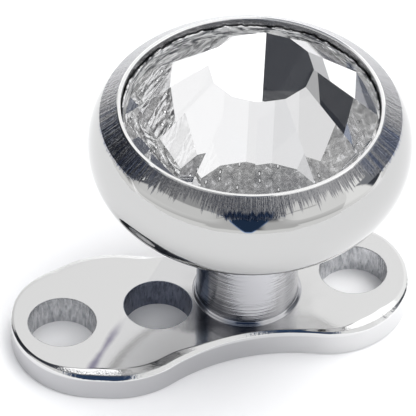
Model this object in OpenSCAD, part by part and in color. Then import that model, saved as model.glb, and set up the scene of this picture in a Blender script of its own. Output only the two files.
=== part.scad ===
// Dermal anchor with its gem top screwed on.
// Millimetres, +Z up. The origin is on the post's axis, on the underside of the foot.
// The long end of the foot, which has two holes, points to -X. The short end points to +X.

/* [Foot plate] */
// Thickness of the foot plate
foot_t = 0.5; // [0.35:0.01:0.7]
// Radius of the foot's upper edges, rounded by long tumbling
edge_r = 0.13; // [0.08:0.01:0.14]
// Radius of the foot's lower edges
low_edge_r = 0.04; // [0.02:0.01:0.08]
// Half width of the long end
heel_r = 1.42; // [1.3:0.01:1.55]
// Distance from the post's axis to the middle of the long end
heel_x = 2.15; // [2.05:0.01:2.4]
// Radius of the long end's rounded tip
heel_tip_r = 1.32; // [1.22:0.01:1.4]
// How far the tip's centre lies outside the middle of the long end
heel_tip_out = 0.32; // [0.25:0.01:0.45]
// Radius of the short end
toe_r = 1.3; // [1.2:0.01:1.45]
// Distance from the post's axis to the centre of the short end
toe_x = 1.3; // [1.2:0.01:1.5]
// Half width of the foot at its waist
waist_half_w = 1; // [0.99:0.01:1.1]

/* [Foot holes] */
// Diameter of each hole that tissue grows through
hole_d = 1.06; // [0.8:0.01:1.15]
// Distance from the post's axis to the outer hole of the long end
outer_hole_x = 3; // [2.9:0.01:3.05]
// Distance from the post's axis to the inner hole of the long end
inner_hole_x = 1.45; // [1.45:0.01:1.6]
// Distance from the post's axis to the hole of the short end
toe_hole_x = 1.74; // [1.6:0.01:1.85]

/* [Post] */
// Diameter of the post, 14 gauge
post_d = 1.6; // [1.55:0.01:1.66]
// Height of the post above the foot
post_h = 2.11; // [1.5:0.01:2.5]
// Diameter of the low ring where the post meets the foot
base_ring_d = 1.7; // [1.68:0.01:1.74]
// Height of the low ring
base_ring_h = 0.06; // [0.03:0.01:0.12]

/* [Stem] */
// Diameter of the plain stem that fastens the top in the post
stem_d = 1.1; // [0.9:0.01:1.2]
// Length of the stem inside the post
stem_in_post = 1.8; // [1.2:0.01:1.85]
// Length of the stem inside the setting
stem_in_cup = 0.6; // [0.4:0.01:0.65]

/* [Setting] */
// Radius of the circle on which the rounded side is centred
bulge_centre_r = 1.5; // [1.4:0.01:1.6]
// Radius of the rounded side, seen in section
bulge_r = 1; // [0.9:0.01:1.1]
// Radial room for cement between the stone and the lip
cement_room = 0.07; // [0.05:0.01:0.12]
// Thickness of the lip at its top edge
lip_t = 0.05; // [0.04:0.01:0.08]
// Height of the whole setting
cup_h = 1.78; // [1.7:0.01:1.82]
// Slope of the burnished band between the lip and the rounded side, degrees
band_slope = 36; // [32:0.5:40]

/* [Stone] */
// Diameter of the stone across its girdle
stone_d = 3.84; // [3.5:0.01:4.2]
// Height of the upright girdle
girdle_h = 0.46; // [0.4:0.01:0.5]
// Number of facets round the table
facet_count = 12; // [10:1:16]
// Slope of the facets round the table, degrees
facet_slope = 42; // [38:0.5:44]
// Diameter of the table across its corners
table_d = 1.6; // [1.3:0.01:1.8]
// How far the cut sits off the stone's centre
cut_shift = 0.14; // [0:0.01:0.15]
// How far the stone's widest edge lies under the lip's edge
stone_sink = 0.2; // [0.16:0.01:0.24]
// Turn of the stone and the direction of the off-centre cut, degrees
stone_turn = -18.5; // [-30:0.1:30]

/* [Foil and cement] */
// Thickness of the mirror foil on the back of the stone
foil_t = 0.05; // [0.04:0.01:0.08]
// Thickness of the cement under the foil
bed_t = 0.1; // [0.06:0.01:0.14]
// How far the ring of cement rises past the stone's widest edge
cement_rise = 0.1; // [0.04:0.01:0.14]

/* [Fits] */
// Radial gap between the stem and the bores that it goes into
stem_fit = 0.04; // [0.02:0.01:0.06]
// Gap between the end of the stem and the bottom of its bores
stem_end_gap = 0.05; // [0.03:0.01:0.1]
// Gap between the setting and the top of the post
seat_gap = 0.02; // [0.01:0.01:0.04]
// Gap between the stone, its foil, the cement and the setting
stone_gap = 0.02; // [0.01:0.01:0.02]

/* [Hidden] */
$fn = 96;

// How far each cut runs past the face that it opens
cut_past = 0.5;

// Heights from the underside of the foot upwards
post_top_z = foot_t + post_h;
cup_base_z = post_top_z + seat_gap;
bulge_z = cup_base_z + bulge_r;
lip_z = cup_base_z + cup_h;
stem_bottom_z = post_top_z - stem_in_post;
stem_top_z = cup_base_z + stem_in_cup;
girdle_top_z = lip_z - stone_sink;
stone_back_z = girdle_top_z - girdle_h;
foil_bottom_z = stone_back_z - stone_gap - foil_t;
bed_bottom_z = foil_bottom_z - stone_gap - bed_t;
pocket_floor_z = bed_bottom_z - stone_gap;

// The stone's pocket and the ring of cement round the girdle
stone_r = stone_d / 2;
pocket_r = stone_r + cement_room;
lip_outer_r = pocket_r + lip_t;
ring_outer_r = pocket_r - stone_gap;
ring_inner_r = stone_r + stone_gap;

// The facets all meet the girdle's circle at girdle_top_z, on the line of their corners
half_facet = 180 / facet_count;
table_apothem = table_d / 2 * cos(half_facet);
corner_run = stone_r * cos(half_facet) - table_apothem;
table_z = girdle_top_z + corner_run * tan(facet_slope);

// Side of the block that stands for the wheel that grinds a facet, well over the stone's width
grind_l = 3 * stone_d;

// The burnished band is a cone from the lip to where it meets the rounded side
band_run = bulge_centre_r + bulge_r - lip_outer_r;
band_low_z = lip_z - band_run * tan(band_slope);

// Each side of the waist is one arc that touches the circles of both ends, and its middle is
// waist_half_w from the axis. Squaring the sum of the two distances from the arc's centre to the
// ends' centres, along X, gives a quadratic a r^2 + b r + c = 0 for the arc's radius.
end_distance = heel_x + toe_x;
reach = pow(end_distance, 2) + pow(heel_r, 2) - pow(toe_r, 2);
end_step = 2 * (heel_r - toe_r);
arc_a = pow(end_step, 2);
arc_b = 2 * reach * end_step - 8 * pow(end_distance, 2) * (heel_r - waist_half_w);
arc_c = pow(reach, 2) - 4 * pow(end_distance, 2) * (pow(heel_r, 2) - pow(waist_half_w, 2));
waist_r = 2 * arc_c / (-arc_b + sqrt(pow(arc_b, 2) - 4 * arc_a * arc_c));
waist_y = waist_half_w + waist_r;
waist_x = sqrt(pow(heel_r + waist_r, 2) - pow(waist_y, 2)) - heel_x;

// Slope of the straight sides that join the long end to its rounded tip
tip_angle = asin((heel_r - heel_tip_r) / heel_tip_out);

// Height of the foot's upright side, between its rounded edges
side_h = foot_t - edge_r - low_edge_r;

// Section of a plate that reaches out to r and has rounded edges
module rounded_section(r) {
    square([r - edge_r, foot_t]);
    square([r - low_edge_r, low_edge_r + side_h]);
    translate([0, low_edge_r])
        square([r, side_h]);
    translate([r - edge_r, foot_t - edge_r])
        circle(r = edge_r);
    translate([r - low_edge_r, low_edge_r])
        circle(r = low_edge_r);
}

module end_disc(x, r) {
    translate([x, 0, 0])
        rotate_extrude()
            rounded_section(r);
}

// The straight stretch between the long end and its tip, which touches the circles of both
module heel_sides() {
    side_l = heel_tip_out * cos(tip_angle);
    for (flip = [0, 1])
        mirror([0, flip, 0])
            translate([-heel_x, 0, 0])
                rotate([0, 0, tip_angle])
                    translate([-side_l, 0, 0])
                        rotate([90, 0, 90])
                            linear_extrude(side_l)
                                rounded_section(heel_r);
}

// The point where a waist arc touches the circle of radius r round the point cx on the axis
function touch_point(cx, r, side) =
    [cx + (waist_x - cx) * r / (r + waist_r), side * waist_y * r / (r + waist_r)];

// The bridge between the two ends, hollowed by an arc on each side
module bridge() {
    difference() {
        linear_extrude(foot_t)
            polygon([
                [-heel_x, 0],
                touch_point(-heel_x, heel_r, 1),
                touch_point(toe_x, toe_r, 1),
                [toe_x, 0],
                touch_point(toe_x, toe_r, -1),
                touch_point(-heel_x, heel_r, -1)
            ]);
        for (side_y = [-waist_y, waist_y])
            translate([waist_x, side_y, 0])
                rotate_extrude()
                    waist_cut();
    }
}

// Section of the cutter that hollows a side and rounds its edges
module waist_cut() {
    difference() {
        union() {
            translate([0, foot_t / 2])
                square([waist_r + edge_r, foot_t / 2 + cut_past]);
            translate([0, -cut_past])
                square([waist_r + low_edge_r, foot_t / 2 + cut_past]);
        }
        translate([waist_r, low_edge_r])
            square([edge_r, side_h]);
        translate([waist_r + edge_r, foot_t - edge_r])
            circle(r = edge_r);
        translate([waist_r + low_edge_r, low_edge_r])
            circle(r = low_edge_r);
    }
}

module foot() {
    end_disc(-heel_x, heel_r);
    end_disc(-heel_x - heel_tip_out, heel_tip_r);
    end_disc(toe_x, toe_r);
    heel_sides();
    bridge();
}

module anchor() {
    color("silver")
        difference() {
            union() {
                foot();
                cylinder(d = post_d, h = post_top_z);
                cylinder(d = base_ring_d, h = foot_t + base_ring_h);
            }
            for (x = [-outer_hole_x, -inner_hole_x, toe_hole_x])
                translate([x, 0, -cut_past])
                    cylinder(d = hole_d, h = foot_t + 2 * cut_past);
            // Bore for the stem
            translate([0, 0, stem_bottom_z - stem_end_gap])
                cylinder(d = stem_d + 2 * stem_fit, h = post_top_z);
        }
}

module screw_stem() {
    color("lightgray")
        translate([0, 0, stem_bottom_z])
            cylinder(d = stem_d, h = stem_top_z - stem_bottom_z);
}

// The solid button: a ring with a round section, filled in the middle and cut by the band's cone
module button() {
    intersection() {
        union() {
            translate([0, 0, bulge_z])
                rotate_extrude()
                    translate([bulge_centre_r, 0])
                        circle(r = bulge_r);
            translate([0, 0, cup_base_z])
                cylinder(r = bulge_centre_r, h = cup_h);
            translate([0, 0, bulge_z])
                cylinder(r = lip_outer_r, h = lip_z - bulge_z);
        }
        union() {
            translate([0, 0, band_low_z])
                cylinder(r1 = bulge_centre_r + bulge_r, r2 = lip_outer_r, h = lip_z - band_low_z);
            translate([0, 0, cup_base_z])
                cylinder(r = bulge_centre_r + bulge_r, h = band_low_z - cup_base_z);
        }
    }
}

module bezel_cup() {
    color("silver")
        difference() {
            button();
            // Pocket for the stone
            translate([0, 0, pocket_floor_z])
                cylinder(r = pocket_r, h = cup_h);
            // Socket that holds the stem
            translate([0, 0, cup_base_z - cut_past])
                cylinder(d = stem_d + 2 * stem_fit, h = stem_in_cup + stem_end_gap + cut_past);
        }
}

module foil_back() {
    color("gainsboro")
        translate([0, 0, foil_bottom_z])
            cylinder(r = stone_r, h = foil_t);
}

module cement_bed() {
    color("darkgray")
        difference() {
            translate([0, 0, bed_bottom_z])
                cylinder(r = ring_outer_r, h = girdle_top_z + cement_rise - bed_bottom_z);
            translate([0, 0, bed_bottom_z + bed_t])
                cylinder(r = ring_inner_r, h = cup_h);
        }
}

// A round blank, ground flat on each facet in turn
module crystal() {
    color("aliceblue")
        rotate([0, 0, stone_turn])
            difference() {
                translate([0, 0, stone_back_z])
                    cylinder(r = stone_r, h = table_z - stone_back_z);
                for (i = [0 : facet_count - 1])
                    translate([cut_shift, 0, table_z])
                        rotate([0, 0, (2 * i + 1) * half_facet])
                            translate([table_apothem, 0, 0])
                                rotate([0, facet_slope, 0])
                                    translate([-grind_l / 2, -grind_l / 2, 0])
                                        cube(grind_l);
            }
}

anchor();
screw_stem();
bezel_cup();
foil_back();
cement_bed();
crystal();
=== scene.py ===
import math

import bmesh
import bpy
import numpy as np
from mathutils import Matrix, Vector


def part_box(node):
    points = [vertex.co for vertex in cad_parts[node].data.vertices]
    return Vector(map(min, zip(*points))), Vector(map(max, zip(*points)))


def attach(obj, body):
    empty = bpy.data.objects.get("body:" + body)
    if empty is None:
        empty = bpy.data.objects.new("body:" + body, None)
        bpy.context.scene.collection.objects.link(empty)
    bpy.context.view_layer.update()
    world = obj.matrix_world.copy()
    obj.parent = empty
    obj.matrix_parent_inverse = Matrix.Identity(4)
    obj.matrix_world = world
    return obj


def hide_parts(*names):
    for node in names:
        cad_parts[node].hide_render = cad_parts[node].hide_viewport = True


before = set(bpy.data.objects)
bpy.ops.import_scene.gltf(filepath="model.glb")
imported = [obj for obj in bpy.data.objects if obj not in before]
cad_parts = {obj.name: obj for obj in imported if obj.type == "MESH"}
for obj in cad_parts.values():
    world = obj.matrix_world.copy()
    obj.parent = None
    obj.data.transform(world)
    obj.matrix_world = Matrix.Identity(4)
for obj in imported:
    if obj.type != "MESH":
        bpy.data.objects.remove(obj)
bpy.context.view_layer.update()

# Anchor
# A flat pierced foot and a round post, machined from one bar of surgical steel and tumbled, so
# its bevelled upper edge is rounded. The top of the foot is polished like a mirror. The walls of
# the holes are left satin, and the post keeps fine lines from the lathe.
mm = 0.001
foot_t = 0.5
# How far the worn upper edge reaches in at most, at the waist and round the two ends
waist_edge = 0.13
end_edge = 0.2
# Bend of the rim's lower edge
low_edge = 0.04
# Middles and radii of the circles round the heel, its tip and the toe
heel_x, heel_r = -2.15, 1.42
tip_x, tip_r = -2.47, 1.32
toe_x, toe_r = 1.3, 1.3
waist_half = 1.0
hole_r = 0.53
hole_edge = 0.014
outer_hole_x, inner_hole_x, toe_hole_x = -3.0, -1.45, 1.74
post_r = 0.8
post_top = 2.61
# Radius and height of the small cone round the post's base
ring_r, ring_h = 0.85, 0.045
stem_bore_r = 0.59
stem_bore_z = 0.76
# Lines across the foot that divide it into four cells, one for each hole and one for the post
cell_lines = (1.03, -0.885, -2.225)
outline_step = 0.03
# Flat runs from the bends of a hole's wall, and of the cone, to their seams with the top
seam_run, cone_run = 0.001, 0.013
# The edge changes from the waist's to the heel's, and from the waist's to the toe's, between these
heel_blend, toe_blend = (-1.0, -1.5), (0.5, 0.95)
# Places along the foot, and the share of its full size that the worn edge has at each
wear_places = [
    -3.8, -3.6, -3.45, -3.3, -3.1, -2.8, -1.6, -1.2, -0.8, -0.3, 0.1, 0.9, 1.2, 1.6, 2.0, 2.25, 2.45,
]
wear_shares = [
    0.28, 0.3, 0.4, 0.6, 0.83, 1.0, 1.0, 0.85, 0.6, 0.5, 0.4, 0.4, 0.55, 0.95, 1.0, 0.6, 0.4,
]
# Only the part of the rim above this height is worn
wear_low = 0.2
# Points closer than this are one point, and a ring of this radius is one too
merge_gap = 1e-4
pole_r = 1e-6
# Level directions from the post: to the side that the photograph shows, and to the left of that
front_way = (-0.281, -0.96)
left_way = (-0.96, 0.281)
steel_hex = "#dfdfdf"


def arc(cx, cy, r, start, end):
    """Points and outward normals on a circle of radius r round (cx, cy), from start to end in
    degrees. A negative r is a hollow arc: its outward normals point at its centre."""
    count = max(2, int(abs(math.radians(end - start) * r) / outline_step) + 2)
    turn = np.radians(np.linspace(start, end, count))
    way = np.stack([np.cos(turn), np.sin(turn)], 1)
    return np.hstack([np.array([cx, cy]) + abs(r) * way, math.copysign(1, r) * way])


def end_share(x):
    """0 along the waist and 1 round heel and toe: two smooth steps of the place along the foot."""
    shares = [(x - start) / (stop - start) for start, stop in (heel_blend, toe_blend)]
    t = np.clip(np.maximum(*shares), 0, 1)
    return t * t * (3 - 2 * t)


def wear(x):
    """How much of its full size the worn edge has at x: straight lines between the places."""
    return np.interp(x, wear_places, wear_shares)


def edge_width(side):
    """Width of the worn edge at each point of an outline."""
    full = waist_edge + (end_edge - waist_edge) * end_share(side[:, 0])
    return (full * wear(side[:, 0]))[:, None]


def foot_sides():
    """The upper half of the foot's outline, from the toe to the tip of the heel, cut at the
    cell lines: circles round toe, heel and tip, joined by a hollow arc that touches toe and
    heel, and by a straight stretch that touches heel and tip. Returns one array for each cell."""
    span = toe_x - heel_x
    reach = span ** 2 + heel_r ** 2 - toe_r ** 2
    step = 2 * (heel_r - toe_r)
    a = step ** 2
    b = 2 * reach * step - 8 * span ** 2 * (heel_r - waist_half)
    c = reach ** 2 - 4 * span ** 2 * (heel_r ** 2 - waist_half ** 2)
    waist_r = 2 * c / (-b + math.sqrt(b * b - 4 * a * c))
    waist_y = waist_half + waist_r
    waist_x = math.sqrt((heel_r + waist_r) ** 2 - waist_y ** 2) + heel_x
    toe_touch = math.degrees(math.atan2(waist_y, waist_x - toe_x))
    heel_touch = math.degrees(math.atan2(waist_y, waist_x - heel_x))
    lean = 90 + math.degrees(math.asin((heel_r - tip_r) / (heel_x - tip_x)))

    def crossing(line, cx, r):
        """Angle at which a circle of radius r round x = cx crosses the line x = line."""
        return math.degrees(math.acos((line - cx) / r))

    toe_cut = crossing(cell_lines[0], toe_x, toe_r - end_edge)
    waist_cut = -crossing(cell_lines[1], waist_x, waist_r + waist_edge)
    heel_cut = crossing(cell_lines[2], heel_x, heel_r - end_edge)
    heel_end = arc(heel_x, 0, heel_r, heel_cut, lean)
    tip = arc(tip_x, 0, tip_r, lean, 180)
    straight_steps = 13
    share = np.arange(1, straight_steps)[:, None] / straight_steps
    straight = heel_end[-1] + share * (tip[0] - heel_end[-1])
    return [
        arc(toe_x, 0, toe_r, 0, toe_cut),
        np.vstack([
            arc(toe_x, 0, toe_r, toe_cut, toe_touch),
            arc(waist_x, waist_y, -waist_r, toe_touch - 180, waist_cut)[1:],
        ]),
        np.vstack([
            arc(waist_x, waist_y, -waist_r, waist_cut, heel_touch - 180),
            arc(heel_x, 0, heel_r, heel_touch, heel_cut)[1:],
        ]),
        np.vstack([heel_end, straight, tip]),
    ]


def cross_line(x, half):
    """Points along a cell line at x, from half down to minus half, without its ends."""
    y = np.linspace(half, -half, int(2 * half / outline_step) + 2)[1:-1]
    return np.stack([np.full_like(y, x), y], 1)


def quads(rows, columns):
    """Faces of a grid of points, row by row, whose columns close into a ring."""
    i, j = np.meshgrid(np.arange(rows - 1), np.arange(columns), indexing="ij")
    k = (j + 1) % columns
    faces = np.stack([i * columns + j, i * columns + k, (i + 1) * columns + k, (i + 1) * columns + j], -1)
    return faces.reshape(-1, 4)


def solid(name, points, faces, slots, materials, rounded=True):
    """Makes one object from points in mm and faces, each with the number of its material, and
    turns the faces outwards. A rounded one has its seams and poles merged and is shaded smooth."""
    mesh = bpy.data.meshes.new(name)
    mesh.from_pydata((points * mm).tolist(), [], faces)
    mesh.polygons.foreach_set("material_index", np.array(slots, np.int32))
    for material in materials:
        mesh.materials.append(material)
    work = bmesh.new()
    work.from_mesh(mesh)
    if rounded:
        bmesh.ops.remove_doubles(work, verts=work.verts, dist=merge_gap * mm)
        bmesh.ops.dissolve_degenerate(work, edges=work.edges, dist=0.1 * merge_gap * mm)
    bmesh.ops.recalc_face_normals(work, faces=work.faces)
    work.to_mesh(mesh)
    work.free()
    if rounded:
        mesh.shade_smooth()
    made = bpy.data.objects.new(name, mesh)
    bpy.context.scene.collection.objects.link(made)
    return made


def piece(name, grids, materials):
    """Makes one rounded object from grids, each an array of points in mm (rows, columns, 3)
    whose columns close into a ring, with the number of its material."""
    points, faces, slots, start = [], [], [], 0
    for grid, slot in grids:
        rows, columns = grid.shape[:2]
        points.append(grid.reshape(-1, 3))
        faces.append(quads(rows, columns) + start)
        slots.append(np.full(len(faces[-1]), slot))
        start += rows * columns
    return solid(name, np.vstack(points), np.vstack(faces).tolist(), np.concatenate(slots), materials)


def profile(corners, bend_steps=10, hug=0.004, run_steps=6):
    """A section from corners (r, z, bend radius): each corner becomes an arc of its radius that
    touches both straight runs, and each run gets a point close to either end, so it stays flat."""
    spots = np.array([c[:2] for c in corners], float)
    bends = []
    for before, (r, z, bend), after in zip(spots[:-2], corners[1:-1], spots[2:]):
        spot = np.array([r, z])
        back = (before - spot) / np.linalg.norm(before - spot)
        on = (after - spot) / np.linalg.norm(after - spot)
        half = math.acos(max(-1.0, min(1.0, float(back @ on)))) / 2
        reach = bend / math.tan(half)
        centre = spot + (back + on) / np.linalg.norm(back + on) * bend / math.sin(half)
        first = spot + back * reach - centre
        last = spot + on * reach - centre
        sweep = math.pi - 2 * half
        t = np.linspace(0, 1, bend_steps + 1)[:, None]
        bends.append(centre + (np.sin((1 - t) * sweep) * first + np.sin(t * sweep) * last) / math.sin(sweep))
    line = [spots[:1]]
    starts = [spots[0]] + [b[-1] for b in bends]
    stops = [b[0] for b in bends] + [spots[-1]]
    for k, (start, stop) in enumerate(zip(starts, stops)):
        length = np.linalg.norm(stop - start)
        if length > 3 * hug:
            close = hug / length
            share = np.concatenate([[close], np.linspace(0, 1, run_steps + 1)[1:-1], [1 - close]])
            line.append(start + share[:, None] * (stop - start))
        if k < len(bends):
            line.append(bends[k])
    line.append(spots[-1:])
    return np.vstack(line)


def turned(section, way):
    """A section of (r, z) turned round the z axis: one ring for each of its points, with one
    column for each direction in way, an array of unit vectors."""
    ring = section[:, None, 0, None] * way[None]
    height = np.broadcast_to(section[:, None, 1, None], ring.shape[:2] + (1,))
    return np.concatenate([ring, height], 2)


def cell(side, centre, lines):
    """The border of one cell of the foot, and each border point's direction from the centre of
    its hole or post. lines gives whether the cell has a cell line at its toe end and heel end."""
    inset = side[:, :2] - edge_width(side) * side[:, 2:]
    inset_other = inset[::-1] * np.array([1, -1])
    border = [inset]
    if lines[1]:
        border.append(cross_line(inset[-1, 0], inset[-1, 1]))
        border.append(inset_other)
    else:
        border.append(inset_other[1:])
    if lines[0]:
        border.append(cross_line(inset[0, 0], inset[0, 1])[::-1])
    else:
        border[-1] = border[-1][:-1]
    border = np.vstack(border)
    way = border - np.array([centre, 0])
    return border, way / np.linalg.norm(way, axis=1, keepdims=True)


def flat_ring(inner, border, z):
    """Flat rows from an inner ring out to a border, each point running straight to its own. The
    outer rows lie close to both, so that the flat stays flat up to its edges."""
    share = np.array([0, 0.01, 0.25, 0.5, 0.75, 0.985, 1])[:, None, None]
    flat = inner + share * (border - inner)
    return np.concatenate([flat, np.full(flat.shape[:2] + (1,), z)], 2)


def anchor_grids():
    """All the surfaces of foot and post: flat rings round each hole and the post, above and
    below, the walls of the holes, the rim, and the post turned round its axis. The rim's edge is
    a bevel in two steps, steeper at the waist and lower round the ends, and less worn in places."""
    sides = foot_sides()
    grids = []
    # The middle of each cell, and whether it has a cell line at its toe end and heel end
    cells = [
        (toe_hole_x, (False, True)),
        (0, (True, True)),
        (inner_hole_x, (True, True)),
        (outer_hole_x, (True, False)),
    ]
    hole_wall = profile([
        (hole_r + hole_edge + seam_run, foot_t, 0.0),
        (hole_r, foot_t, hole_edge),
        (hole_r, 0, hole_edge),
        (hole_r + hole_edge + seam_run, 0, 0.0),
    ], bend_steps=6)
    post_wall = profile([
        (ring_r + cone_run, foot_t, 0.0),
        (ring_r, foot_t, 0.01),
        (post_r, foot_t + ring_h, 0.03),
        (post_r, post_top, 0.03),
        (stem_bore_r, post_top, 0.02),
        (stem_bore_r, stem_bore_z, 0.02),
        (0.0, stem_bore_z, 0.0),
    ])
    for side, (centre, lines) in zip(sides, cells):
        border, way = cell(side, centre, lines)
        middle = np.array([centre, 0])
        is_post = centre == 0
        wall = post_wall if is_post else hole_wall
        inner = middle + wall[0, 0] * way
        grids.append((flat_ring(inner, border, foot_t), 0))
        bottom_inner = middle + pole_r * way if is_post else inner
        grids.append((flat_ring(bottom_inner, border, 0)[::-1], 0))
        upright = turned(wall, way)
        upright[..., 0] += centre
        grids.append((upright[::-1], 2 if is_post else 1))
    half = np.vstack([side[:-1] for side in sides])
    other_half = np.vstack([side[1:] for side in sides])[::-1] * np.array([1, -1, 1, -1])
    outline = np.vstack([half, other_half])
    waist_rim = profile([
        (-waist_edge, foot_t, 0.0),
        (-0.1, foot_t, 0.05),
        (-0.052, foot_t - 0.05, 0.06),
        (0, foot_t - 0.115, 0.06),
        (0, 0, low_edge),
        (-waist_edge, 0, 0.0),
    ], bend_steps=9)
    end_rim = profile([
        (-end_edge, foot_t, 0.0),
        (-0.175, foot_t, 0.08),
        (-0.058, foot_t - 0.043, 0.05),
        (0, foot_t - 0.098, 0.05),
        (0, 0, low_edge),
        (-end_edge, 0, 0.0),
    ], bend_steps=9)
    share = end_share(outline[:, 0])[None, :, None]
    rim = waist_rim[:, None] + share * (end_rim - waist_rim)[:, None]
    # The upper part of the section shrinks towards its corner where the edge is less worn
    corner = np.array([0, foot_t])
    worn = corner + wear(outline[:, 0])[None, :, None] * (rim - corner)
    rim = np.where(rim[..., 1:] > wear_low, worn, rim)
    # Underneath, the last row meets the flat rings
    rim[-1, :, 0] = -edge_width(outline)[:, 0]
    spot = outline[None, :, :2] + rim[..., :1] * outline[None, :, 2:]
    grids.append((np.concatenate([spot, rim[..., 1:]], 2), 0))
    return grids


def linear(code):
    """A colour written as sRGB hex, turned into the linear values that Blender works in."""
    part = np.array([int(code[i:i + 2], 16) for i in (1, 3, 5)]) / 255
    value = np.where(part <= 0.04045, part / 12.92, ((part + 0.055) / 1.055) ** 2.4)
    return (*value.tolist(), 1.0)


def add(tree, kind, links=None, stops=(), **settings):
    """Adds a node, named by its type without ShaderNode. settings are its properties, or its
    sockets where the name is a socket's with spaces as underscores. links maps a socket's name or
    number to the output or the constant that it takes. stops are the places and colours of a
    colour ramp, lowest first."""
    node = tree.nodes.new("ShaderNode" + kind)
    for key, value in settings.items():
        socket = node.inputs.get(key.replace("_", " "))
        if socket is not None:
            socket.default_value = value
        else:
            setattr(node, key, value)
    for key, source in (links or {}).items():
        if isinstance(source, bpy.types.NodeSocket):
            tree.links.new(source, node.inputs[key])
        else:
            node.inputs[key].default_value = source
    # A new ramp has two stops, which become the lowest and the highest
    for number, (place, colour) in enumerate([*stops[:1], *stops[-1:], *stops[1:-1]]):
        ramp = node.color_ramp.elements
        stop = ramp[number] if number < 2 else ramp.new(place)
        stop.position = place
        stop.color = colour
    return node


def new_material(name, **settings):
    """An empty node material with one Principled surface, and its tree and surface node."""
    material = bpy.data.materials.new(name)
    material.use_nodes = True
    tree = material.node_tree
    surface = tree.nodes["Principled BSDF"]
    for key, value in settings.items():
        surface.inputs[key.replace("_", " ")].default_value = value
    return material, tree, surface


def feed(surface, **sources):
    """Links outputs to the surface's sockets, named with spaces as underscores."""
    for key, source in sources.items():
        surface.id_data.links.new(source, surface.inputs[key.replace("_", " ")])


def in_mm(tree):
    """The spot in mm, from Object coordinates, and its three parts."""
    place = add(tree, "TexCoord")
    spot = add(tree, "VectorMath", {0: place.outputs["Object"]}, operation="SCALE", Scale=1 / mm)
    parts = add(tree, "SeparateXYZ", {0: spot.outputs[0]})
    return spot.outputs[0], *parts.outputs


def outward(tree, spot):
    """The level direction of a spot from the z axis, as a unit vector."""
    flat = add(tree, "VectorMath", {0: spot, 1: (1.0, 1.0, 0.0)}, operation="MULTIPLY")
    return add(tree, "VectorMath", {0: flat.outputs[0]}, operation="NORMALIZE").outputs[0]


def towards(tree, spot, direction):
    """How far round the z axis a spot lies towards a level direction, from -1 to 1."""
    way = outward(tree, spot)
    node = add(tree, "VectorMath", {0: way, 1: (*direction, 0.0)}, operation="DOT_PRODUCT")
    return node.outputs["Value"]


def mask(tree, *steps):
    """The product of smooth steps. Each is a value and the two values between which the step goes
    from 0 to 1."""
    product = None
    for value, start, stop in steps:
        step = add(
            tree, "MapRange", {"Value": value}, interpolation_type="SMOOTHSTEP",
            From_Min=start, From_Max=stop,
        ).outputs[0]
        if product is None:
            product = step
        else:
            product = add(tree, "Math", {0: product, 1: step}, operation="MULTIPLY").outputs[0]
    return product


# Lays one colour over another: used both for the steel's own tones and for painted shade and light
def tone_or_shade(tree, colour, code, *steps):
    """The colour, with another one over it where the mask of the steps is 1. Sockets 6 and 7 of
    the mix are its two colours, and output 2 is the mixed one."""
    cover = mask(tree, *steps)
    mixed = add(tree, "Mix", {"Factor": cover, 6: colour, 7: linear(code)}, data_type="RGBA")
    return mixed.outputs[2]


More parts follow.
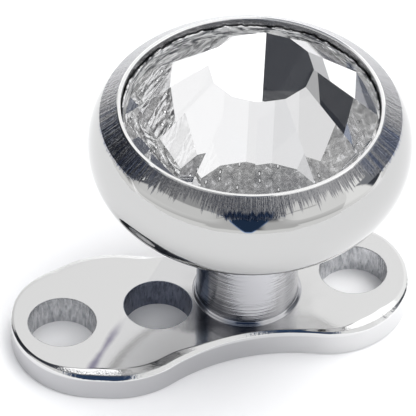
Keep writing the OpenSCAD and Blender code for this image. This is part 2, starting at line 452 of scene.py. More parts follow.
def polished_steel():
    """Surgical steel polished on a soft wheel. It is a soft mirror that turns dull close to the
    post, where the wheel doesn't reach. Painted shade darkens the top beside the post towards the
    front-left, and the sides, more towards the heel. The bevel, which was only tumbled, has pits
    0.04 mm wide. A painted dark reflection edge crosses the heel, and a slightly darker painted
    reflection covers the top between it and the post."""
    material, tree, surface = new_material("wheel_polished_steel", Metallic=1.0)
    spot, x, y, z = in_mm(tree)
    clouds_per_mm, pits_per_mm = 2.5, 26.0
    cloud = add(tree, "TexNoise", {"Vector": spot}, Scale=clouds_per_mm, Detail=4.0).outputs["Fac"]
    flat = add(tree, "CombineXYZ", {0: x, 1: y})
    reach = add(tree, "VectorMath", {0: flat.outputs[0]}, operation="LENGTH").outputs["Value"]
    # Distance from the post's axis, made uneven by the cloud
    wheel = add(tree, "Math", {0: cloud, 1: reach, 2: reach}, operation="MULTIPLY_ADD").outputs[0]
    gloss = add(
        tree, "MapRange", {"Value": wheel}, interpolation_type="SMOOTHSTEP",
        From_Min=1.0, From_Max=1.9, To_Min=0.3, To_Max=0.085,
    )
    # The painted dark reflection edge is a line on the foot: how far a spot is past it, and how far along it
    reflection_edge_across, reflection_edge_along, reflection_edge_place = (0.785, -0.62, 0.0), (-0.62, -0.785, 0.0), 1.52
    offset = add(tree, "VectorMath", {0: spot, 1: reflection_edge_across}, operation="DOT_PRODUCT").outputs["Value"]
    across = add(tree, "Math", {0: offset, 1: reflection_edge_place}, operation="ADD").outputs[0]
    along = add(tree, "VectorMath", {0: spot, 1: reflection_edge_along}, operation="DOT_PRODUCT").outputs["Value"]
    aside = add(tree, "Math", {0: across}, operation="ABSOLUTE")
    blur = add(tree, "Math", {0: cloud, 1: 0.1, 2: aside.outputs[0]}, operation="MULTIPLY_ADD")
    on_top = (z, foot_t - 0.01, foot_t)
    beside = towards(tree, spot, (-0.68, -0.73))
    # The sides, painted greyer as shade towards the heel, then the top, then painted reflections on
    # the top: a slightly darker film and a dark edge, then painted shade beside the post
    tone = tone_or_shade(tree, linear("#bfbfc1"), "#d8d8d8", (x, -0.6, 1.6))
    tone = tone_or_shade(tree, tone, steel_hex, (z, foot_t - 0.13, foot_t - 0.1))
    # Painted reflections on the top: a slightly darker film, and a dark edge across the heel
    tone = tone_or_shade(tree, tone, "#d9d9da", (across, 0.0, 0.04), (x, 0.0, -0.5), on_top)
    tone = tone_or_shade(tree, tone, "#8f8c9d", (blur.outputs[0], 0.15, 0.04), (along, 1.3, 2.0), on_top)
    # Painted shade on the top beside the post, towards the front-left
    tone = tone_or_shade(tree, tone, "#77787d", (wheel, 2.2, 1.5), (beside, 0.35, 0.85), on_top)
    bevel = add(
        tree, "MapRange", {"Value": z}, interpolation_type="SMOOTHSTEP",
        From_Min=foot_t, From_Max=foot_t - 0.03, To_Min=0.03, To_Max=0.6,
    )
    pits = add(tree, "TexNoise", {"Vector": spot}, Scale=pits_per_mm, Detail=3.0).outputs["Fac"]
    relief = add(tree, "Bump", {"Height": pits, "Strength": bevel.outputs[0]}, Distance=0.006 * mm)
    feed(surface, Base_Color=tone, Roughness=gloss.outputs[0], Normal=relief.outputs[0])
    return material


def satin_steel():
    """The reamed and blasted walls of the holes: dull grey steel with marks 0.05 mm wide, four
    times as long down the wall. Painted shade darkens the hole beside the post most, blue-grey,
    and the outer hole a little; the toe's hole has none."""
    material, tree, surface = new_material("satin_drilled_steel", Metallic=1.0)
    spot, x, _, _ = in_mm(tree)
    marks_per_mm = 22.0
    place = add(tree, "Mapping", {"Vector": spot}, Scale=(1.0, 1.0, 0.25))
    marks = add(
        tree, "TexNoise", {"Vector": place.outputs[0]}, Scale=marks_per_mm, Detail=4.0, Roughness=0.65,
    ).outputs["Fac"]
    grey = [(0.35, linear("#a8aaae")), (0.65, linear("#e4e4e6"))]
    tone = add(tree, "ValToRGB", {0: marks}, stops=grey)
    # Painted shade for the outer hole, the hole beside the post and the toe's hole, by their place along the
    # foot
    along = add(tree, "MapRange", {"Value": x}, From_Min=-4.0, From_Max=3.0)
    hole_shades = [(0.0, linear("#f4f4f4")), (0.25, linear("#9aa0b0")), (0.7, linear("#ffffff"))]
    painted_shade = add(tree, "ValToRGB", {0: along.outputs[0]}, stops=hole_shades)
    painted_shade.color_ramp.interpolation = "CONSTANT"
    shaded = add(
        tree, "Mix", {"Factor": 1.0, 6: tone.outputs[0], 7: painted_shade.outputs[0]},
        data_type="RGBA", blend_type="MULTIPLY",
    )
    gloss = add(tree, "MapRange", {"Value": marks}, To_Min=0.36, To_Max=0.16)
    relief = add(tree, "Bump", {"Height": marks}, Strength=0.8, Distance=0.02 * mm)
    feed(surface, Base_Color=shaded.outputs[2], Roughness=gloss.outputs[0], Normal=relief.outputs[0])
    return material


def turned_steel():
    """The post as it leaves the lathe: steel with level tool lines about 0.04 mm apart. Painted
    shade darkens it: blue on the left, dark in the lines beside that, and dark just above the foot in front."""
    material, tree, surface = new_material("turned_steel", Metallic=1.0)
    spot, _, _, z = in_mm(tree)
    # The pattern changes once in 3 mm round the post, and is squeezed to 39 times a mm up it
    round_per_mm, squeeze, rags_per_mm = 0.34, 115.0, 9.0
    place = add(tree, "Mapping", {"Vector": spot}, Scale=(1.0, 1.0, squeeze))
    lines = add(
        tree, "TexNoise", {"Vector": place.outputs[0]}, Scale=round_per_mm, Detail=2.5, Roughness=0.6,
    ).outputs["Fac"]
    relief = add(tree, "Bump", {"Height": lines}, Strength=0.6, Distance=0.012 * mm)
    gloss = add(tree, "MapRange", {"Value": lines}, To_Min=0.06, To_Max=0.22)
    ragged = add(tree, "TexNoise", {"Vector": spot}, Scale=rags_per_mm, Detail=4.0).outputs["Fac"]
    above = add(tree, "Math", {0: ragged, 1: 0.16, 2: z}, operation="MULTIPLY_ADD").outputs[0]
    side = towards(tree, spot, left_way)
    edge = add(tree, "Math", {0: lines, 1: 0.1, 2: side}, operation="MULTIPLY_ADD").outputs[0]
    behind_left, low_front = towards(tree, spot, (-0.9, 0.43)), towards(tree, spot, (-0.35, -0.94))
    # Painted shade: the dark lines, the dark band just above the foot, and the blue on the left, which fades
    # out behind
    tone = tone_or_shade(tree, linear("#c3c3c6"), "#9c9da1", (lines, 0.53, 0.44), (behind_left, -0.25, 0.4))
    tone = tone_or_shade(tree, tone, "#868c98", (above, 0.69, 0.64), (low_front, 0.9, 0.99))
    tone = tone_or_shade(
        tree, tone, "#727e93",
        (edge, 0.76, 0.84), (towards(tree, spot, front_way), -0.5, 0.0), (z, foot_t + 0.02, foot_t + 0.06),
    )
    feed(surface, Base_Color=tone, Roughness=gloss.outputs[0], Normal=relief.outputs[0])
    return material


anchor = piece("anchor_body", anchor_grids(), [polished_steel(), satin_steel(), turned_steel()])
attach(anchor, "root")
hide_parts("anchor")

# Stem
# The pin that holds the top on its anchor. It is surgical steel, turned on a lathe, and hidden in
# the bores of the post and the setting.


def circle(step):
    """Level directions all round, step degrees apart."""
    turn = np.radians(np.arange(0, 360, step))
    return np.stack([np.cos(turn), np.sin(turn)], 1)


def disc(node, bend):
    """A plain round disc or pin that fills its node's box, with its two edges rounded by bend."""
    low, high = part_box(node)
    r, low, high = high.x / mm, low.z / mm, high.z / mm
    section = profile([(0.0, low, 0.0), (r, low, bend), (r, high, bend), (0.0, high, 0.0)])
    return turned(section, circle(1.0))


stem = piece("stem_pin", [(disc("screw_stem", 0.05), 0)], [turned_steel()])
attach(stem, "root")
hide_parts("screw_stem")

# Setting
# The round button that carries the stone, turned from steel and polished. Its lip is pressed in
# over the stone with a burnisher, which leaves a sloping band of short scratches that all run
# from the lip outwards.
cup_low, cup_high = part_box("bezel_cup")
cup_base = cup_low.z / mm
cup_top = cup_high.z / mm
bulge_r = 1.0
bulge_centre_r = 1.5
lip_outer = 2.04
lip_inner = 1.99
# The band's slope, and how far round the side the crisp and the rolled shoulder set in
band_slope = math.radians(36)
shoulder_turn = math.radians(33.2)
rolled_turn, rolled_bend = math.radians(24.6), 0.5
# Directions in which the shoulder is rolled over, and the cosines between which that fades in
slips = [((-0.717, -0.697), 0.927, 0.974), ((0.329, -0.944), 0.906, 0.961)]
# Directions in which the band is painted dark blue as shade, in the same way
shade_directions = [((-0.985, -0.174), 0.86, 0.97), ((0.774, -0.633), 0.95, 0.985)]
# Heights between which the scratches set in, going up, and end at the edge of the lip, which is
# painted near white as a highlight
scratch_foot = (cup_top - 0.24, cup_top - 0.19)
lip_edge = (cup_top - 0.017, cup_top - 0.006)
# Heights between which the painted shade in front sets in, going down, and between which the
# slipped shoulder is painted lighter, going up
notch_shade_top = (cup_top - 0.135, cup_top - 0.17)
shoulder_foot = (cup_top - 0.34, cup_top - 0.26)
socket_r = 0.59
socket_top = cup_base + 0.65
# Room between the stone, its foil, the cement and the setting
gap = 0.02
bed_low, bed_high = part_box("cement_bed")
pocket_floor = bed_low.z / mm - gap
bulge_z = cup_base + bulge_r


def cup_section(turn, shoulder_bend):
    """Section of the setting. The line that touches the rounded side at the angle turn meets the
    band's line at the shoulder, which is rounded by shoulder_bend."""
    touch = np.array([bulge_centre_r + bulge_r * math.cos(turn), bulge_z + bulge_r * math.sin(turn)])
    rise = np.array([-math.sin(turn), math.cos(turn)])
    missing = cup_top - (touch[0] - lip_outer) * math.tan(band_slope) - touch[1]
    shoulder = touch + rise * missing / (rise[1] + rise[0] * math.tan(band_slope))
    return profile([
        (0.0, socket_top, 0.0),
        (socket_r, socket_top, 0.02),
        (socket_r, cup_base, 0.02),
        (bulge_centre_r + bulge_r, cup_base, bulge_r),
        (bulge_centre_r + bulge_r, bulge_z + bulge_r * math.tan(turn / 2), bulge_r),
        (*shoulder, shoulder_bend),
        (lip_outer, cup_top, 0.008),
        (lip_inner, cup_top, 0.012),
        (lip_inner, pocket_floor, 0.03),
        (0.0, pocket_floor, 0.0),
    ], bend_steps=25, run_steps=5)


def rolled_cup(way):
    """The setting's section turned round the z axis. Where the burnisher slipped over the shoulder
    the section blends, by a smooth step of the direction, into one with a rolled shoulder."""
    slipped = np.zeros(len(way))
    for direction, start, stop in slips:
        t = np.clip((way @ np.array(direction) - start) / (stop - start), 0, 1)
        slipped += t * t * (3 - 2 * t)
    crisp = turned(cup_section(shoulder_turn, 0.03), way)
    rolled = turned(cup_section(rolled_turn, rolled_bend), way)
    return crisp + slipped[None, :, None] * (rolled - crisp)


def burnished_steel():
    """Polished steel whose band below the lip is burnished. There the gloss is spread by scratches
    0.03 mm apart that run outwards from the lip and fade out raggedly over the shoulder. Painted
    shade, dark blue, sits in them in two places and in front at the foot of the band. The rolled
    shoulder is painted lighter, and the lip's edge near white, as painted light."""
    material, tree, surface = new_material("burnished_steel", Metallic=1.0)
    spot, _, _, z = in_mm(tree)
    way = outward(tree, spot)
    # Patterns that run outwards: they change with the direction, and hardly with the height
    scratches_per_radian, strokes_per_radian, specks_per_mm, fall = 75.0, 30.0, 24.0, (0.0, 0.0, 0.03)
    place = add(tree, "VectorMath", {0: spot, 1: fall, 2: way}, operation="MULTIPLY_ADD").outputs[0]
    streaks = add(
        tree, "TexNoise", {"Vector": place}, Scale=scratches_per_radian, Detail=3.0, Roughness=0.6,
    ).outputs["Fac"]
    specks = add(tree, "TexNoise", {"Vector": spot}, Scale=specks_per_mm, Detail=3.0).outputs["Fac"]
    marks = add(tree, "Math", {0: specks, 1: 0.7, 2: streaks}, operation="MULTIPLY_ADD").outputs[0]

    def near(places):
        """The larger of two masks, each 1 towards one of the places."""
        a, b = (mask(tree, (towards(tree, spot, side), start, stop)) for side, start, stop in places)
        return add(tree, "Math", {0: a, 1: b}, operation="MAXIMUM").outputs[0]

    slipped = near(slips)
    # The height, made ragged by the scratches and most of all where the burnisher slipped
    spread = add(tree, "MapRange", {"Value": slipped}, To_Min=0.14, To_Max=0.45).outputs[0]
    middle = add(tree, "Math", {0: streaks, 1: 0.5}, operation="SUBTRACT").outputs[0]
    ragged = add(tree, "Math", {0: middle, 1: spread, 2: z}, operation="MULTIPLY_ADD").outputs[0]
    limit = add(tree, "Math", {0: slipped, 1: -0.09, 2: ragged}, operation="MULTIPLY_ADD").outputs[0]
    band = mask(tree, (limit, *scratch_foot))
    lip = add(tree, "MapRange", {"Value": z}, From_Min=lip_edge[1], From_Max=lip_edge[0]).outputs[0]
    worn = add(tree, "Math", {0: band, 1: lip}, operation="MULTIPLY").outputs[0]
    relief = add(tree, "Bump", {"Height": marks, "Strength": worn}, Distance=0.009 * mm)
    gloss = add(tree, "MapRange", {"Value": worn}, To_Min=0.035, To_Max=0.15)
    # Where the shoulder is rolled it is painted lighter from its foot upwards: painted light
    dull, painted_lighter = linear("#b6b6b5"), linear("#d2d2d1")
    lighter_where_slipped = add(tree, "Mix", {"Factor": slipped, 6: dull, 7: painted_lighter}, data_type="RGBA")
    fades = mask(tree, (z, *shoulder_foot))
    smooth = add(tree, "Mix", {"Factor": fades, 6: dull, 7: lighter_where_slipped.outputs[2]}, data_type="RGBA")
    tone = tone_or_shade(tree, smooth.outputs[2], "#a4a4a6", (limit, *scratch_foot))
    # The painted shade lies in strokes about 0.07 mm wide
    clouds = add(tree, "TexNoise", {"Vector": place}, Scale=strokes_per_radian, Detail=5.0, Roughness=0.7)
    cloudy = add(tree, "MapRange", {"Value": clouds.outputs["Fac"]}, From_Min=0.6, From_Max=0.38)
    painted_shade = add(tree, "Math", {0: cloudy.outputs[0], 1: near(shade_directions)}, operation="MULTIPLY")
    band_shade = add(tree, "Math", {0: painted_shade.outputs[0], 1: band}, operation="MULTIPLY").outputs[0]
    tone = add(tree, "Mix", {"Factor": band_shade, 6: tone, 7: linear("#667088")}, data_type="RGBA").outputs[2]
    # The painted shade in front, at the foot of the band, is 0.8 mm wide
    ahead = towards(tree, spot, front_way)
    tone = tone_or_shade(tree, tone, "#38465f", (ahead, 0.982, 0.99), (ragged, *notch_shade_top), (limit, *scratch_foot))
    # The lip's edge is painted near white: a painted highlight over the room that it mirrors
    whole = add(tree, "Mix", {"Factor": lip, 6: linear("#f8f8f8"), 7: tone}, data_type="RGBA")
    feed(surface, Base_Color=whole.outputs[2], Roughness=gloss.outputs[0], Normal=relief.outputs[0])
    return material


cup = piece("setting_cup", [(rolled_cup(circle(1.0)), 0)], [burnished_steel()])
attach(cup, "root")
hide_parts("bezel_cup")

# Cement
# Clear jeweller's cement that has hardened grey under the stone and in the ring round it, with
# small bubbles trapped in it.
bed_floor = bed_low.z / mm
bed_rim = bed_high.z / mm
bed_outer = bed_high.x / mm
girdle_z = bed_rim - 0.1
recess_r = 1.94
recess_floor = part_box("foil_back")[0].z / mm - gap
# Depth of the ring's lumps, as a share of its height, and how far its inner wall leans out,
# steadily and with the waves, as shares of its radius
lump_share = 0.45
lean, lean_waves = 0.004, 0.003


def bubbled_cement():
    """Clear cement over dull steel: grey, glossy and uneven, with bubbles 0.05 mm wide. Its near-white
    streaks along the ring are partly painted glints.
    """
    material, tree, surface = new_material("hardened_cement", Roughness=0.2, IOR=1.5)
    spot, x, y, z = in_mm(tree)
    clouds_per_radian, clouds_per_mm, bubbles_per_mm = 7.0, 22.0, 9.0
    turn = add(tree, "Math", {0: y, 1: x}, operation="ARCTAN2").outputs[0]
    place = add(tree, "CombineXYZ", {0: turn, 1: z}).outputs[0]
    ring_way = add(tree, "Mapping", {"Vector": place}, Scale=(clouds_per_radian, clouds_per_mm, 1.0))
    cloud = add(
        tree, "TexNoise", {"Vector": ring_way.outputs[0]},
        Scale=1.0, Detail=4.0, Roughness=0.6, Distortion=1.0,
    )
    # Grey to near white: uneven cement, the near-white partly painted glints
    grey = [(0.42, linear("#5c5e62")), (0.57, linear("#fafafa"))]
    tone = add(tree, "ValToRGB", {0: cloud.outputs["Fac"]}, stops=grey)
    cells = add(tree, "TexVoronoi", {"Vector": spot}, Scale=bubbles_per_mm)
    bubble = mask(tree, (cells.outputs["Distance"], 0.3, 0.18))
    relief = add(tree, "Bump", {"Height": bubble}, Strength=0.7, Distance=0.02 * mm)
    feed(surface, Base_Color=tone.outputs[0], Normal=relief.outputs[0])
    return material


def uneven_ring(section, way):
    """The section turned round the z axis. Above the stone's widest edge the ring is lumpy: its
    height is cut by a sum of waves round it, and its inner wall leans out with the same waves."""
    ring = turned(section, way)
    angle = np.arctan2(way[:, 1], way[:, 0])
    counts = np.array([7, 11, 18, 29, 43, 61, 97])
    waves = (np.sin(counts[:, None] * angle + counts[:, None] ** 2) / len(counts)).sum(0)
    above = np.clip((section[:, 1] - girdle_z) / (bed_rim - girdle_z), 0, 1)[:, None]
    ring[..., 2] -= above * (0.5 + waves) * lump_share * (bed_rim - girdle_z)
    inner = (section[:, 0] < 0.5 * (recess_r + bed_outer))[:, None]
    ring[..., :2] *= (1 + inner * above * (lean + lean_waves * waves))[..., None]
    return ring


bed_section = profile([
    (0.0, bed_floor, 0.0),
    (bed_outer, bed_floor, 0.01),
    (bed_outer, bed_rim, 0.008),
    (recess_r, bed_rim, 0.008),
    (recess_r, recess_floor, 0.01),
    (0.0, recess_floor, 0.0),
], bend_steps=5, run_steps=16)
bed = piece("cement_bed_and_ring", [(uneven_ring(bed_section, circle(0.5)), 0)], [bubbled_cement()])
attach(bed, "root")
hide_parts("cement_bed")

# Foil
# A thin mirror of silver on the flat back of the stone, which throws the light back out of it. It
# is laid on the glass and backed with lacquer.


def silver_foil(name):
    """Silver laid on glass and backed with lacquer: a bright mirror, with faint clouds 0.5 mm wide."""
    material, tree, surface = new_material(name, Base_Color=linear("#f4f4f5"), Metallic=1.0)
    clouds_per_mm = 2.0
    cloud = add(tree, "TexNoise", {"Vector": in_mm(tree)[0]}, Scale=clouds_per_mm, Detail=3.0)
    gloss = add(tree, "MapRange", {"Value": cloud.outputs["Fac"]}, To_Min=0.0, To_Max=0.006)
    feed(surface, Roughness=gloss.outputs[0])
    return material


foil = piece("mirror_foil", [(disc("foil_back", 0.01), 0)], [silver_foil("silver_mirror_foil")])
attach(foil, "root")
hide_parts("foil_back")

# Stone
# Clear crystal glass, pressed round and flat-backed, then ground: a flat table with twelve
# facets round it. The cut sits a little off the middle. Foil and cement cling to its back and
# its upright edge, so those two faces show them from inside.
stone_low, stone_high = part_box("crystal")
stone_back = stone_low.z / mm
table_z = stone_high.z / mm
stone_r = 1.92
table_r = 0.8
facets = 12
facet_slope = math.radians(42)
rim_steps = 24
cut_shift = 0.14
stone_turn = math.radians(-18.5)


def stone_mesh(name, materials):
    """Twelve planes fall away from the table's edges at the facets' slope. Each facet is the flat
    polygon from a table edge, down the two lines where it meets its neighbours, to the round
    edge of the stone, where its lower border is the curve in which the plane cuts the cylinder."""
    half = math.pi / facets
    apothem = table_r * math.cos(half)
    shift = np.array([cut_shift, 0.0])
    corner_turn = 2 * half * np.arange(facets)
    corner_way = np.stack([np.cos(corner_turn), np.sin(corner_turn)], 1)
    # Distance from the table's centre along each corner's line to the stone's round edge
    along = corner_way @ -shift
    run = along + np.sqrt(along ** 2 - shift @ shift + stone_r ** 2)
    rim_spot = shift + run[:, None] * corner_way
    rim_turn = np.unwrap(np.arctan2(rim_spot[:, 1], rim_spot[:, 0]))
    next_turn = np.append(rim_turn[1:], rim_turn[0] + 2 * math.pi)
    turn = rim_turn[:, None] + (next_turn - rim_turn)[:, None] * (np.arange(rim_steps) / rim_steps)
    middle = corner_turn[:, None] + half
    reach = (stone_r * np.cos(turn) - cut_shift) * np.cos(middle) + stone_r * np.sin(turn) * np.sin(middle)
    rim_z = table_z - (reach - apothem) * math.tan(facet_slope)
    turn, rim_z = turn.ravel(), rim_z.ravel()
    count = len(turn)
    ring = stone_r * np.stack([np.cos(turn), np.sin(turn)], 1)
    upper = np.column_stack([ring, rim_z])
    lower = np.column_stack([ring, np.full(count, stone_back)])
    table = np.column_stack([shift + table_r * corner_way, np.full(facets, table_z)])
    c, s = math.cos(stone_turn), math.sin(stone_turn)
    points = np.vstack([upper, lower, table]) @ np.array([[c, s, 0], [-s, c, 0], [0, 0, 1]])
    i = np.arange(facets)
    follow = (i + 1) % facets
    rim_index = (i[:, None] * rim_steps + np.arange(rim_steps + 1)) % count
    crown = np.column_stack([rim_index, 2 * count + follow, 2 * count + i])
    j = np.arange(count)
    k = (j + 1) % count
    wall = np.column_stack([j, j + count, k + count, k])
    faces = [*crown.tolist(), (2 * count + i).tolist(), *wall.tolist(), (count + j)[::-1].tolist()]
    slots = [0] * (facets + 1) + [1] * count + [2]
    return solid(name, points, faces, slots, materials, rounded=False)


def clear_glass():
    """Polished lead-free crystal glass, quite clear."""
    return new_material(
        "cut_crystal_glass", Base_Color=linear("#ffffff"), Roughness=0.0, IOR=1.55,
        Transmission_Weight=1.0, Specular_IOR_Level=0.25,
    )[0]


def seen_cement():
    """The cement and the crumpled edge of the foil, seen through the glass of the stone's upright
    edge: grey and streaked, and on one side creased bright and dark but for the lowest part, partly
    painted reflections of the foil. The bubbles, 0.05 mm wide, are 2.5 times as tall, because the
    glass flattens them. It glows a little in its own colours: painted light, in place of lamp light
    that doesn't reach it through the glass."""
    material, tree, surface = new_material("cement_seen_through_glass", Roughness=0.3, Emission_Strength=0.7)
    _, x, y, z = in_mm(tree)
    # How often each pattern changes in a mm, along the edge and up it
    creases_per_mm, streaks_per_mm, bubbles_per_mm = (3.2, 9.0, 1.0), (9.0, 7.0, 1.0), (10.0, 4.0, 1.0)
    turn = add(tree, "Math", {0: y, 1: x}, operation="ARCTAN2").outputs[0]
    along = add(tree, "Math", {0: turn, 1: stone_r}, operation="MULTIPLY").outputs[0]
    place = add(tree, "CombineXYZ", {0: along, 1: z}).outputs[0]
    slanted = add(tree, "Mapping", {"Vector": place}, Rotation=(0, 0, 0.6), Scale=creases_per_mm)
    creases = add(
        tree, "TexNoise", {"Vector": slanted.outputs[0]},
        Scale=1.0, Detail=5.0, Roughness=0.62, Distortion=1.8,
    )
    # The creases' bright and dark are partly painted reflections of the crumpled foil
    bright_and_dark = [(0.38, linear("#525355")), (0.49, linear("#a2a2a1")), (0.6, linear("#ffffff"))]
    creased = add(tree, "ValToRGB", {0: creases.outputs["Fac"]}, stops=bright_and_dark)
    level = add(tree, "Mapping", {"Vector": place}, Scale=streaks_per_mm)
    streaks = add(
        tree, "TexNoise", {"Vector": level.outputs[0]},
        Scale=1.0, Detail=4.0, Roughness=0.6, Distortion=0.6,
    )
    greys = [(0.34, linear("#808080")), (0.58, linear("#acacab")), (0.66, linear("#e0e0e0"))]
    streaked = add(tree, "ValToRGB", {0: streaks.outputs["Fac"]}, stops=greys)
    # The foil is crumpled over a quarter of the edge, down to 0.1 mm above its foot
    crumple_turn, crumple_from, crumple_to = math.radians(5), math.radians(38), math.radians(50)
    beside = add(tree, "Math", {0: turn, 1: crumple_turn}, operation="ADD")
    off = add(tree, "Math", {0: beside.outputs[0]}, operation="ABSOLUTE").outputs[0]
    fold = mask(tree, (off, crumple_from, crumple_to))
    low = add(tree, "MapRange", {"Value": z}, From_Min=stone_back + 0.1, From_Max=stone_back + 0.06)
    plain = add(tree, "Math", {0: fold, 1: low.outputs[0]}, operation="MAXIMUM")
    tone = add(
        tree, "Mix", {"Factor": plain.outputs[0], 6: creased.outputs[0], 7: streaked.outputs[0]},
        data_type="RGBA",
    )
    # Fewer than a quarter of the cells hold a bubble: a painted glint in the middle, in a dark ring
    # of painted shade
    flattened = add(tree, "Mapping", {"Vector": place}, Scale=bubbles_per_mm)
    cells = add(tree, "TexVoronoi", {"Vector": flattened.outputs[0]}, voronoi_dimensions="2D", Scale=1.0)
    pick = add(tree, "SeparateXYZ", {0: cells.outputs["Color"]})
    some = add(tree, "Math", {0: pick.outputs[0], 1: 0.76}, operation="GREATER_THAN")
    glints = [(0.07, (3.0, 3.0, 3.0, 1.0)), (0.19, (0.2, 0.2, 0.2, 1.0)), (0.3, (1.0, 1.0, 1.0, 1.0))]
    bubble = add(tree, "ValToRGB", {0: cells.outputs["Distance"]}, stops=glints)
    shaded = add(
        tree, "Mix", {"Factor": some.outputs[0], 6: tone.outputs[2], 7: bubble.outputs[0]},
        data_type="RGBA", blend_type="MULTIPLY",
    )
    # The emission is painted light: the edge glows in the colours it is painted
    feed(surface, Base_Color=shaded.outputs[2], Emission_Color=shaded.outputs[2])
    return material


stone = stone_mesh("cut_stone", [clear_glass(), seen_cement(), silver_foil("foil_on_the_stone")])
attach(stone, "root")
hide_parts("crystal")

# Studio
# A white table, a pale room with a dark ceiling, and light panels behind and to the right. The
# steel and the stone show the room, so its lights are placed as the photograph's reflections ask.
# The camera's angles in degrees and its distance in mm
camera_turn, camera_height, camera_roll = -16.3, 43.1, 1.286
camera_far = 80.0
aim_point = (0.0, 0.0, 2.5)
# Where the aim point falls in the picture, measured in mm from the picture's middle
aim_right, aim_up = 0.632, 0.197
picture_mm = 6.4454


def floor():
    """A white table a metre wide, level with the underside of the foot."""
    white = new_material(
        "white_table_laminate", Base_Color=linear("#f7f7f8"), Roughness=0.6, Specular_IOR_Level=0.0,
    )[0]
    corners = 500.0 * np.array([(-1, -1, 0), (1, -1, 0), (1, 1, 0), (-1, 1, 0)])
    made = solid("white_table", corners, [(0, 1, 2, 3)], [0], [white], rounded=False)


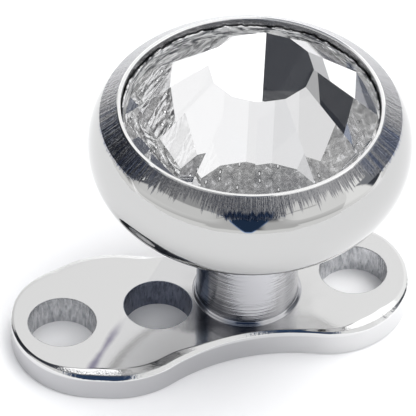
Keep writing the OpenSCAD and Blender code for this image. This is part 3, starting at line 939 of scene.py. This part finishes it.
def room():
    """The room as a sphere of light. x runs to the camera's right, y straight away from it and z
    up. A white sweep fills the side of one great circle; smaller panels and shades are patches of
    azimuth, from straight behind the jewel and positive to the right, and of height."""
    world = bpy.data.worlds.new("studio_room")
    bpy.context.scene.world = world
    world.use_nodes = True
    tree = world.node_tree
    tree.nodes.clear()
    place = add(tree, "TexCoord")
    turned_way = add(
        tree, "Mapping", {"Vector": place.outputs["Generated"]}, vector_type="TEXTURE",
        Rotation=(0, 0, math.radians(camera_turn)),
    ).outputs[0]
    x, y, z = add(tree, "SeparateXYZ", {0: turned_way}).outputs
    side = add(tree, "Math", {0: x, 1: y}, operation="ARCTAN2").outputs[0]
    height = add(tree, "Math", {0: z}, operation="ARCSINE").outputs[0]

    def patch(*stretch):
        """1 between two azimuths and two heights in degrees, falling to 0 over soft degrees."""
        start, stop, low, high, soft = (math.radians(v) for v in stretch)
        return mask(
            tree, (side, start - soft, start), (side, stop + soft, stop),
            (height, low - soft, low), (height, high + soft, high),
        )

    # The ceiling is darker behind the jewel than over the camera
    total = add(
        tree, "MapRange", {"Value": y}, interpolation_type="SMOOTHSTEP",
        From_Min=-0.5, From_Max=0.5, To_Min=0.13, To_Max=0.03,
    ).outputs[0]
    sweep_middle, sweep_soft = (0.472, 0.811, -0.346), 0.012
    sweep_from, sweep_whole = math.radians(-45), math.radians(-40)
    depth = add(tree, "VectorMath", {0: turned_way, 1: sweep_middle}, operation="DOT_PRODUCT")
    sweep = mask(
        tree, (depth.outputs["Value"], -sweep_soft, sweep_soft), (side, sweep_from, sweep_whole),
    )
    fade = add(
        tree, "MapRange", {"Value": side},
        From_Min=math.radians(-60), From_Max=math.radians(20), To_Min=0.56, To_Max=1.1,
    )
    lit = add(tree, "Math", {0: sweep, 1: fade.outputs[0]}, operation="MULTIPLY")
    total = add(tree, "Math", {0: total, 1: lit.outputs[0]}, operation="MAXIMUM").outputs[0]
    shades = [
        # azimuth from and to, height from and to, softness
        (42, 90, 9, 20, 4),
        (58, 90, 9, 38, 4),
        (0.15, 1.4, 40.9, 41.9, 0.05),
    ]
    for stretch in shades:
        kept = add(
            tree, "MapRange", {"Value": patch(*stretch)}, interpolation_type="SMOOTHSTEP",
            To_Min=1.0, To_Max=0.25,
        )
        total = add(tree, "Math", {0: total, 1: kept.outputs[0]}, operation="MULTIPLY").outputs[0]
    panels = [
        # azimuth from and to, height from and to, softness, brightness
        (-180, 180, -90, 4, 5, 1.25),
        (-176, -98, -10, 20, 8, 0.85),
        (115, 168, -10, 17, 8, 0.8),
        (-87, -79, 42.5, 45.5, 1, 1.3),
        (-67, -62, 57, 61, 1, 0.42),
        (-37, -33, 48, 53, 1, 0.48),
        (78, 120, 44, 57, 5, 0.95),
        (104, 150, 53, 66, 4, 0.9),
        (-160, -100, 50, 66, 4, 0.42),
        (152, 180, 55, 72, 4, 0.15),
        (-180, -162, 55, 72, 4, 0.15),
        (97, 156, 20, 47, 7, 0.95),
        (-156, -98, 20, 47, 7, 0.8),
        (0, 80, 54, 90, 4, 1.5),
        (-60, 0, 79, 90, 2, 1.5),
    ]
    for *stretch, bright in panels:
        lit = add(tree, "Math", {0: patch(*stretch), 1: bright}, operation="MULTIPLY")
        total = add(tree, "Math", {0: total, 1: lit.outputs[0]}, operation="MAXIMUM").outputs[0]
    # A dark blue doorway over the camera, which widens upwards from the horizon
    doorway_lean, doorway_dark, doorway_blue = -0.55, 0.05, (0.5, 1.0, 2.1, 1.0)
    nearness = add(tree, "Math", {0: y, 1: -1.0}, operation="MULTIPLY").outputs[0]
    ahead = add(tree, "Math", {0: x, 1: nearness}, operation="ARCTAN2").outputs[0]
    aside = add(tree, "Math", {0: ahead}, operation="ABSOLUTE").outputs[0]
    slant = add(tree, "Math", {0: height, 1: doorway_lean, 2: aside}, operation="MULTIPLY_ADD").outputs[0]
    bottom, top, soft = math.radians(4), math.radians(54), math.radians(4)
    doorway = mask(tree, (slant, 0.04, 0.0), (height, bottom - soft, bottom), (height, top + soft, top))
    total = add(tree, "Mix", {"Factor": doorway, 2: total, 3: doorway_dark}).outputs[0]
    shadow_tint, white = (0.87, 0.95, 1.17, 1.0), (1.0, 1.0, 1.0, 1.0)
    brighter = mask(tree, (total, 0.02, 0.5))
    tint = add(tree, "Mix", {"Factor": brighter, 6: shadow_tint, 7: white}, data_type="RGBA")
    blue = add(tree, "Mix", {"Factor": doorway, 6: tint.outputs[2], 7: doorway_blue}, data_type="RGBA")
    back = add(tree, "Background", {"Strength": total, "Color": blue.outputs[2]})
    add(tree, "OutputWorld", {"Surface": back.outputs[0]})


def soft_light(name, turn, height, spread, energy):
    """A wide soft light for the table, from an azimuth and a height in degrees like the panels'.
    Steel and glass don't mirror it: they show the room."""
    data = bpy.data.lights.new(name, "SUN")
    data.energy = energy
    data.angle = math.radians(spread)
    light = bpy.data.objects.new(name, data)
    bpy.context.scene.collection.objects.link(light)
    light.rotation_euler = (math.radians(height - 90), 0, math.radians(camera_turn - turn))
    light.visible_glossy = False
    light.visible_transmission = False


def camera():
    """The photograph's camera: a long lens, turned, raised and rolled as measured."""
    a, e, roll = (math.radians(v) for v in (camera_turn, camera_height, camera_roll))
    back = np.array([math.sin(a) * math.cos(e), -math.cos(a) * math.cos(e), math.sin(e)])
    right = np.array([math.cos(a), math.sin(a), 0.0])
    up = np.cross(back, right)
    spot = np.array(aim_point) + camera_far * back
    look = np.array(aim_point) - aim_right * right - aim_up * up - spot
    back = -look / np.linalg.norm(look)
    right = np.cross(np.cross(back, right), back)
    right /= np.linalg.norm(right)
    up = np.cross(back, right)
    c, s = math.cos(roll), math.sin(roll)
    right, up = c * right + s * up, c * up - s * right
    data = bpy.data.cameras.new("long_lens")
    data.sensor_width = 36.0
    data.lens = data.sensor_width * camera_far / picture_mm
    data.clip_start, data.clip_end = 0.001, 2.0
    made = bpy.data.objects.new("camera", data)
    bpy.context.scene.collection.objects.link(made)
    place = np.eye(4)
    place[:3, 0], place[:3, 1], place[:3, 2], place[:3, 3] = right, up, back, spot * mm
    made.matrix_world = Matrix(place.tolist())
    bpy.context.scene.camera = made


floor()
room()
soft_light("overhead_softbox", 0, 82, 60, 1.25)
soft_light("right_softbox", 75, 54, 50, 1.1)
soft_light("front_softbox", 150, 48, 60, 1.0)
camera()
bpy.context.scene.view_settings.view_transform = "Standard"
# Light bounces many times inside the stone before it leaves
bpy.context.scene.cycles.max_bounces = 24
bpy.context.scene.cycles.glossy_bounces = 16
bpy.context.scene.cycles.transmission_bounces = 24
